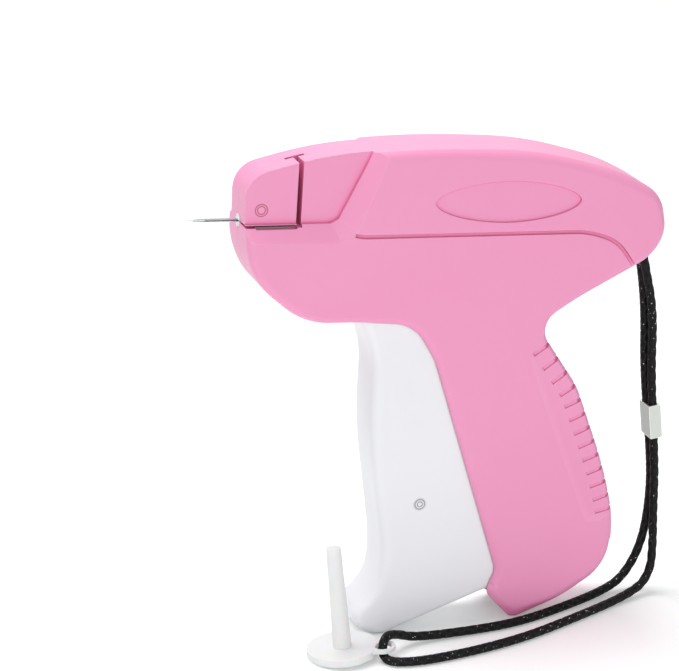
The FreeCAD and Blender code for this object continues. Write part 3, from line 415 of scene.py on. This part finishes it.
def pinFinish(host):
    # A pin's end face, with turned rings about its middle.
    name, plastic, dark, rings = pins["kinds"][host]
    finish = Finish(name, Roughness=pins["roughness"], Specular_IOR_Level=pins["gloss"])
    low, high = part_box(host)
    x, z = (low[0] + high[0]) / 2, (low[2] + high[2]) / 2
    marks = sum(finish.ringed(x, z, radius * mm, width * mm) for radius, width in rings).held()
    finish.set(Base_Color=finish.blend(marks * pins["strength"], shade(*plastic), shade(*dark)))
    finish.bump(marks, pins["strength"], pins["depth"])
    return finish


pinkPlastic = casingFinish("casingPink")
whitePlastic = triggerFinish("triggerWhite")
for finish, names in (
        (pinkPlastic, ("left_shell", "right_shell", "nose_guide", "needle_lock")),
        (pinFinish("needle_lock_pin"), ("needle_lock_pin",)),
        (pinFinish("link_pin"), ("link_pin",)),
        (mouldedFinish("innerWhite"), ("drive_lever", "push_link", "ejector_slide", "feed_wheel",
                                       "strap_anchor")),
        (mouldedFinish("hubWhite"), ("needle_hub",)),
        (metalFinish("steel"), ("trigger_pivot_pin", "lever_pivot_pin", "lever_foot_pin", "slide_pin",
                                "ejector_rod", "return_spring", "feed_axle", "cutter_blade")),
        (metalFinish("needleSteel"), ("needle",)),
        (metalFinish("screwSteel"), ("shell_screws",)),
        (metalFinish("sliderSilver", paintedLight=True), ("strap_slider",))):
    wear(finish, *names)
for piece in nodes.values():
    smooth(piece.data, looks["crease"])
print("finishes made")


def makeMesh(name, vertices, faces, finish):
    mesh = bpy.data.meshes.new(name)
    mesh.from_pydata(vertices, [], faces)
    mesh.materials.append(finish.material)
    piece = bpy.data.objects.new(name, mesh)
    bpy.context.scene.collection.objects.link(piece)
    return piece


# How outlines are drawn: points in a corner, millimetres in a straight run, and their limits.
outlines = {"steps": 9, "run": 8, "straight": 0.01, "sharpest": 0.4, "holeSides": 40, "ovalSides": 72}

# The trigger's outline in the tool's frame: x, z, how much of the shorter run its rounding takes up,
# and the radius of the edge beside it.
triggerShape = {
    "halfWidth": 10.3, "wall": 2.0, "steps": 7, "crease": 35, "pivotHole": 2.06, "pinHole": 1.96,
    "pivot": (64.05, -24.0), "pin": (66.75, -101.25),
    "outline": [(40.5, -31.95, 0, 3.2), (46.8, -46.5, 0.9, 3.4), (46.95, -73.95, 0.9, 3.4),
                (54.45, -117, 0.9, 3.4), (54.45, -132, 0.9, 3.4), (43.2, -143.55, 0.85, 3.2),
                (54, -151.35, 0.75, 3.0), (97.2, -133.95, 0, 1.2), (99.45, -129, 0, 0.8),
                (81.45, -76.95, 0, 0.8), (72, -49.95, 0, 0.8), (71.1, -17.4, 0.8, 0.8),
                (57, -17.4, 0.8, 0.8)],
    "back": [(105, -125.25), (93, -125.25), (75, -60), (68.25, -30), (68.25, -7.5), (90, -7.5),
             (112.5, -75)]}


def rounding(before, corner, after, ease):
    # How far from the corner its rounding starts.
    return ease * min((before - corner).length, (after - corner).length) / 2


def arc(before, corner, after, reach, steps):
    first, last = (before - corner).normalized() * reach, (after - corner).normalized() * reach
    turn = math.pi - first.angle(last)
    radius = reach / math.tan(turn / 2)
    heart = corner + (first + last).normalized() * math.hypot(radius, reach)
    start, end = corner + first - heart, corner + last - heart
    spots = []
    for step in range(steps + 1):
        share = step / steps
        if turn < outlines["straight"]:
            swing = start.lerp(end, share).normalized()
        else:
            swing = start * math.sin((1 - share) * turn) + end * math.sin(share * turn)
            swing = swing / math.sin(turn) / radius
        spots.append(heart + swing * radius)
    return spots


def softCorners(outline):
    # Each corner as a smooth run of points, with the edge's radius carried along.
    points = [Vector((x, z)) for x, z, ease, edge in outline]
    line = []
    for index, (x, z, ease, edge) in enumerate(outline):
        before, corner, after, beyond = (points[(index + shift) % len(points)] for shift in (-1, 0, 1, 2))
        nextX, nextZ, nextEase, nextEdge = outline[(index + 1) % len(outline)]
        if ease:
            reach = rounding(before, corner, after, ease)
            line += [(spot, edge) for spot in arc(before, corner, after, reach, outlines["steps"])]
        else:
            line.append((corner, edge))
        leave, arrive = line[-1][0], after
        if nextEase:
            arrive = after + (corner - after).normalized() * rounding(corner, after, beyond, nextEase)
        runs = max(1, round((after - corner).length / outlines["run"]))
        for step in range(1, runs):
            line.append((leave.lerp(arrive, step / runs), edge + (nextEdge - edge) * step / runs))
    return line


def inset(line, amounts):
    # The outline drawn in, square to itself.
    count = len(line)
    moved = []
    for index in range(count):
        here = line[index]
        sides = []
        for first, second in ((line[index - 1], here), (here, line[(index + 1) % count])):
            run = (second - first).normalized()
            sides.append(Vector((run.y, -run.x)))
        middle = (sides[0] + sides[1]).normalized()
        moved.append(here + middle * (amounts[index] / max(middle.dot(sides[0]), outlines["sharpest"])))
    return moved


def prism(name, rings, finish):
    # A closed solid whose rings lie side by side along Y; each ring is points and their y.
    vertices, faces = [], []
    for ring, across in rings:
        vertices += [toolSpot(spot.x, y, spot.y) for spot, y in zip(ring, across)]
    count = len(rings[0][0])
    for level in range(len(rings) - 1):
        for index in range(count):
            a, b = level * count + index, level * count + (index + 1) % count
            faces.append((a, b, b + count, a + count))
    faces.append(tuple(reversed(range(count))))
    faces.append(tuple(range((len(rings) - 1) * count, len(rings) * count)))
    piece = makeMesh(name, vertices, faces, finish)
    shape = bmesh.new()
    shape.from_mesh(piece.data)
    bmesh.ops.recalc_face_normals(shape, faces=shape.faces)
    shape.to_mesh(piece.data)
    shape.free()
    return piece


def reshape(piece, steps):
    # Each step is what to do with a tool's solid: DIFFERENCE, UNION or INTERSECT.
    for operation, tool in steps:
        change = piece.modifiers.new(operation.lower(), "BOOLEAN")
        change.operation = operation
        change.solver = "EXACT"
        change.object = tool
    bpy.context.view_layer.update()
    shaped = bpy.data.meshes.new_from_object(piece.evaluated_get(bpy.context.evaluated_depsgraph_get()))
    piece.modifiers.clear()
    piece.data = shaped
    for operation, tool in steps:
        bpy.data.objects.remove(tool)


def clockwise(line):
    # The outline's points and their radii, in the one order that inset reads.
    spots, radii = [spot for spot, edge in line], [edge for spot, edge in line]
    if sum(a.x * b.y - b.x * a.y for a, b in zip(spots, spots[1:] + spots[:1])) > 0:
        spots.reverse()
        radii.reverse()
    return spots, radii


def pillow(name, line, half, steps, finish, grow=0.0):
    # A plate of the outline's shape whose edges are rounded off on both sides.
    spots, radii = line
    rings = []
    for step in range(steps + 1):
        swing = math.pi / 2 * (1 - step / steps)
        rings.append((inset(spots, [radius * (1 - math.cos(swing)) - grow for radius in radii]),
                      [-(half - radius + radius * math.sin(swing)) for radius in radii]))
    rings += [(ring, [-y for y in across]) for ring, across in reversed(rings)]
    return prism(name, rings, finish)


def layers(name, rings, finish):
    # A solid from outlines that each lie at one y.
    return prism(name, [(ring, [y] * len(ring)) for ring, y in rings], finish)


def plate(name, ring, low, high, finish):
    return layers(name, [(ring, low), (ring, high)], finish)


def bar(name, middle, radius, half):
    sides = outlines["holeSides"]
    turns = [2 * math.pi * side / sides for side in range(sides)]
    ring = [Vector(middle) + Vector((math.cos(turn), math.sin(turn))) * radius for turn in turns]
    return plate(name, ring, -half, half, whitePlastic)


def makeTrigger():
    half, wall = triggerShape["halfWidth"], triggerShape["wall"]
    line = clockwise(softCorners(triggerShape["outline"]))
    piece = pillow("triggerMoulding", line, half, triggerShape["steps"], whitePlastic)
    room = half - wall
    hollow = inset(line[0], [wall] * len(line[0]))
    back = [Vector(spot) for spot in triggerShape["back"]]
    reshape(piece, [("DIFFERENCE", tool) for tool in (
        plate("triggerHollow", hollow, -room, room, whitePlastic),
        plate("triggerBack", back, -room, room, whitePlastic),
        bar("pivotHole", triggerShape["pivot"], triggerShape["pivotHole"], 2 * half),
        bar("pinHole", triggerShape["pin"], triggerShape["pinHole"], 2 * half))])
    soften(piece.data, triggerShape["crease"])
    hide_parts("trigger")
    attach(piece, "trigger")
    print("trigger made", len(piece.data.vertices), "points")


makeTrigger()

# The casing halves keep their packed form, with the rim rounded off, the oval drawn smooth and the
# grip's band sloped at its edge. Outlines are as the trigger's, and an oval is its middle, half its
# lengths and the power that shapes it.
casingShape = {
    "half": 13.02, "clear": 0.05, "steps": 6, "weld": 0.001, "crease": 22, "beyond": 1.0,
    "face": 13.0, "floor": 12.3, "under": 12.0, "filler": ((89.7, 8.7), (29.5, 10.2), 2.4),
    "lens": ((89.7, 7.6), (26.3, 7.3), 1.82), "bandFloor": 12.48, "bandSlope": 2.4,
    "band": [(106.8, -39.3, 0, 0), (103.8, -45, 0.9, 0), (106.8, -54.3, 0.8, 0),
             (120.3, -86.25, 0.8, 0), (130.2, -108.3, 0, 0), (148.5, -108.3, 0, 0),
             (127.5, -39.3, 0, 0)],
    "outline": [(-0.9, -8.55, 0.9, 3.2), (-1.35, 16.41, 0.62, 3.2), (25.95, 23.61, 0.9, 3.2),
                (60, 25.9, 0.95, 3.2), (100.05, 24.7, 0.95, 3.6), (130.05, 17, 0.95, 3.8),
                (147, 8.4, 0.95, 3.8), (149.55, -5.55, 0.95, 3.4), (144.45, -13.95, 0.95, 3.2),
                (118.95, -27.6, 0.5, 3.0), (104.55, -37.05, 0.9, 3.0), (121.5, -60, 0.3, 3.2),
                (133.35, -87.45, 0.9, 3.4), (140.55, -109.5, 0.9, 4.0), (140.25, -128.55, 0.95, 5.0),
                (124.05, -140.25, 0.7, 5.5), (103.5, -148.2, 0.55, 5.5), (92.25, -135.15, 0.9, 4.5),
                (96.75, -128.55, 0.9, 3.4), (67.95, -48.45, 0.5, 3.2), (59.55, -35.55, 0.9, 3.2),
                (40.5, -33.9, 0.3, 3.2), (20.55, -33.6, 0.9, 3.2), (4.2, -20.25, 0.9, 3.2)]}


def oval(middle, half, power):
    ring = []
    for index in range(outlines["ovalSides"]):
        turn = 2 * math.pi * index / outlines["ovalSides"]
        x, z = math.cos(turn), math.sin(turn)
        ring.append(Vector(middle) + Vector((math.copysign(abs(x) ** (2 / power), x) * half[0],
                                             math.copysign(abs(z) ** (2 / power), z) * half[1])))
    return ring


def sideSteps(side):
    # What is filled and cut on one side of the casing.
    half, face, under, floor, bandFloor, outside = [
        side * length for length in (casingShape["half"], casingShape["face"], casingShape["under"],
                                     casingShape["floor"], casingShape["bandFloor"],
                                     casingShape["half"] + casingShape["beyond"])]
    band, edges = clockwise(softCorners(casingShape["band"]))
    outer = inset(band, [-casingShape["bandSlope"]] * len(band))
    return [("UNION", plate("ovalFiller", oval(*casingShape["filler"]), under, face, pinkPlastic)),
            ("DIFFERENCE", plate("ovalRecess", oval(*casingShape["lens"]), floor, outside, pinkPlastic)),
            ("DIFFERENCE", layers("gripBand", [(band, bandFloor), (outer, half), (outer, outside)],
                                  pinkPlastic))]


def dressCasing(node, side):
    piece = makeMesh(node.replace("_", "") + "Moulding", [], [], pinkPlastic)
    shape = bmesh.new()
    shape.from_mesh(nodes[node].data)
    bmesh.ops.remove_doubles(shape, verts=shape.verts, dist=casingShape["weld"] * mm)
    shape.to_mesh(piece.data)
    shape.free()
    solid = pillow("casingRound", clockwise(softCorners(casingShape["outline"])), casingShape["half"],
                   casingShape["steps"], pinkPlastic, casingShape["clear"])
    reshape(piece, [("INTERSECT", solid)] + (sideSteps(side) if side else []))
    soften(piece.data, casingShape["crease"])
    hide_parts(node)
    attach(piece, "casing")
    print(node, "rounded,", len(piece.data.vertices), "points")


for node, side in (("left_shell", -1), ("right_shell", 1), ("nose_guide", 0)):
    dressCasing(node, side)

# The strap is one braided cord: its route in millimetres, tail first, floor, ear and back.
strap = {"diameter": 3.1, "rings": 0.3, "curve": 24, "sides": 24, "carriers": 8, "pitch": 4.6,
         "relief": 0.2, "level": 0.75, "black": (3, 3, 4), "threadHighlight": (44, 44, 47), "fluff": 2500.0,
         "fluffRange": (0.4, 0.75), "threadRange": (0.45, 1.0), "glint": (225, 225, 225),
         "glints": 1300.0, "glintRange": (0.66, 0.72), "crownRange": (0.9, 1.0), "roughness": 0.55,
         "gloss": 0.18}
strapRoute = [
    (79.05, -1.65, 137.24), (81.41, -1.65, 125.48), (85.7, -1.65, 107), (85.6, -1.65, 84),
    (88.7, -1.65, 48), (88.6, -1.9, 31), (88.7, -2.6, 18), (87.6, -3.8, 7.5), (80, -7.2, 1.6),
    (41, -25, 1.6), (26, -30.5, 1.6), (10, -34.3, 1.6),
    (-4, -36.2, 1.6), (-14, -36.55, 1.6), (-22, -34.6, 1.6), (-23.6, -29.2, 1.6),
    (-21.93, -25.6, 7.06), (-16.5, -22.3, 6), (-8.5, -19.8, 2.2), (16, -19, 1.6),
    (30, -17.6, 1.6), (45, -13, 1.6), (71.5, -1.6, 1.7), (80, 1.1, 6),
    (86, 1.8, 16.5), (88.4, 1.7, 31), (88.7, 1.65, 48), (84.4, 1.65, 84), (83.9, 1.65, 107),
    (81.41, 1.65, 125.48), (79.05, 1.65, 137.24)]


def routeLine(name, route, resolution):
    # The points that a smooth line through the route runs along, in metres.
    curve = bpy.data.curves.new(name, "CURVE")
    curve.dimensions = "3D"
    curve.resolution_u = resolution
    spline = curve.splines.new("NURBS")
    spline.points.add(len(route) - 1)
    for point, spot in zip(spline.points, route):
        point.co = (*(Vector(spot) * mm), 1.0)
    spline.order_u = 3
    spline.use_endpoint_u = True
    carrier = bpy.data.objects.new(name, curve)
    mesh = bpy.data.meshes.new_from_object(carrier)
    line = [vertex.co.copy() for vertex in mesh.vertices]
    bpy.data.objects.remove(carrier)
    bpy.data.meshes.remove(mesh)
    return line


def evenly(line, step):
    # The same line with its points a step apart.
    lengths = [0.0]
    for first, second in zip(line, line[1:]):
        lengths.append(lengths[-1] + (second - first).length)
    count = max(2, round(lengths[-1] / step))
    spots, at = [], 0
    for index in range(count + 1):
        wanted = lengths[-1] * index / count
        while at < len(line) - 2 and lengths[at + 1] < wanted:
            at += 1
        share = (wanted - lengths[at]) / max(lengths[at + 1] - lengths[at], 1e-9)
        spots.append(line[at].lerp(line[at + 1], min(max(share, 0.0), 1.0)))
    return spots, lengths[-1]


def braidFinish():
    finish = Finish("strapBraid", Roughness=strap["roughness"], Specular_IOR_Level=strap["gloss"])
    relief = finish.node("ShaderNodeAttribute", {"attribute_name": "relief"}, output="Fac")
    # Painted highlight: the raised threads are painted lighter, broken up by fluff noise, and their crowns
    # carry painted glints.
    fluff = finish.noise(strap["fluff"], 2.0).eased(*strap["fluffRange"])
    braid = finish.blend((relief.eased(*strap["threadRange"]) * fluff).held(), shade(*strap["black"]),
                         shade(*strap["threadHighlight"]))
    glints = finish.noise(strap["glints"], 1.0).eased(*strap["glintRange"])
    glints = relief.eased(*strap["crownRange"]) * glints
    finish.set(Base_Color=finish.blend(glints, braid, shade(*strap["glint"])))
    return finish


def makeStrap():
    line, length = evenly(routeLine("strapLine", strapRoute, strap["curve"]), strap["rings"] * mm)
    radius, sides, relief = strap["diameter"] / 2 * mm, strap["sides"], strap["relief"] * mm
    vertices, faces, heights = [], [], []
    across = Vector((0, 1, 0))
    for index, spot in enumerate(line):
        ahead = (line[min(index + 1, len(line) - 1)] - line[max(index - 1, 0)]).normalized()
        across = (across - ahead * across.dot(ahead)).normalized()
        third = ahead.cross(across)
        travelled = length * index / (len(line) - 1) / mm
        for side in range(sides):
            angle = 2 * math.pi * side / sides
            wave = 2 * math.pi * travelled / strap["pitch"]
            turns = strap["carriers"] / 2 * angle
            height = 0.5 + 0.5 * max(math.sin(turns + wave), math.sin(turns - wave))
            heights.append(height)
            reach = radius - relief * (strap["level"] - height)
            vertices.append(spot + (across * math.cos(angle) + third * math.sin(angle)) * reach)
    for index in range(len(line) - 1):
        for side in range(sides):
            a, b = index * sides + side, index * sides + (side + 1) % sides
            faces.append((a, b, b + sides, a + sides))
    faces.append(tuple(reversed(range(sides))))
    faces.append(tuple(range((len(line) - 1) * sides, len(line) * sides)))
    piece = makeMesh("wristStrap", vertices, faces, braidFinish())
    piece.data.polygons.foreach_set("use_smooth", [True] * len(piece.data.polygons))
    layer = piece.data.attributes.new("relief", "FLOAT", "POINT")
    layer.data.foreach_set("value", heights)
    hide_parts("wrist_strap")
    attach(piece, "casing")
    print("strap made, length", round(length, 4))


makeStrap()

cap = {"milk": (255, 255, 255), "cloud": (251, 251, 252), "clouds": 70.0, "cloudShare": 0.3,
       "roughness": 0.38, "clear": 0.2, "bend": 1.3, "glow": 0.3, "glowReach": 2.0}


def capFinish():
    finish = Finish("capMilky", Roughness=cap["roughness"], Subsurface_Weight=cap["glow"],
                    Subsurface_Scale=cap["glowReach"] * mm, Transmission_Weight=cap["clear"],
                    IOR=cap["bend"])
    finish.set(Base_Color=finish.blend(finish.noise(cap["clouds"]) * cap["cloudShare"],
                                       shade(*cap["milk"]), shade(*cap["cloud"])))
    return finish


wear(capFinish(), "needle_cap")
print("cap dressed")

# A pale floor, and a pale world round it that is brighter where it is seen than where it lights.
studio = {"floor": (247, 250, 249), "floorRoughness": 0.9, "floorGloss": 0.1, "floorGlow": 0.2,
          "reach": 6.0, "worldLevel": 0.42, "seenLevel": 1.0, "seenShade": (0.8, 0.8, 0.8),
          "aim": (0, 0, 0.07),
          "lamps": [("keyLamp", (-0.3, 0.35, 1.5), 0.9, 17.0), ("fillLamp", (-0.3, -1.6, 0.6), 1.2, 10.0),
                    ("backLamp", (0.6, 1.5, 0.9), 0.9, 2.0)]}


def makeWorld():
    world = bpy.data.worlds.new("studioWorld")
    bpy.context.scene.world = world
    world.use_nodes = True
    graph = Graph(world.node_tree)
    lights = next(item for item in graph.tree.nodes if item.type == "BACKGROUND")
    graph.feed(lights.inputs["Color"], (1.0, 1.0, 1.0))
    graph.feed(lights.inputs["Strength"], studio["worldLevel"])
    shown = graph.node("ShaderNodeBackground", {}, {"Color": studio["seenShade"],
                                                    "Strength": studio["seenLevel"]})
    mix = graph.node("ShaderNodeMixShader", {}, {0: graph.seen(), 1: Value(graph, lights.outputs[0]),
                                                 2: shown})
    out = next(item for item in graph.tree.nodes if item.type == "OUTPUT_WORLD")
    graph.feed(out.inputs["Surface"], mix)


def makeLamps():
    for name, spot, width, power in studio["lamps"]:
        data = bpy.data.lights.new(name, "AREA")
        data.size = width
        data.energy = power
        lamp = bpy.data.objects.new(name, data)
        lamp.location = spot
        lamp.rotation_mode = "QUATERNION"
        lamp.rotation_quaternion = (Vector(studio["aim"]) - Vector(spot)).to_track_quat("-Z", "Y")
        bpy.context.scene.collection.objects.link(lamp)


def makeFloor():
    half = studio["reach"]
    finish = Finish("floorPale", Roughness=studio["floorRoughness"],
                    Specular_IOR_Level=studio["floorGloss"], Base_Color=shade(*studio["floor"]),
                    Emission_Strength=studio["floorGlow"])
    finish.set(Emission_Color=finish.blend(finish.seen(), (0.0, 0.0, 0.0), (1.0, 1.0, 1.0)))
    floor = makeMesh("floor", [(-half, -half, 0), (half, -half, 0), (half, half, 0), (-half, half, 0)],
                     [(0, 1, 2, 3)], finish)


makeWorld()
makeLamps()
makeFloor()
bpy.context.scene.view_settings.view_transform = "Standard"
print("studio made")
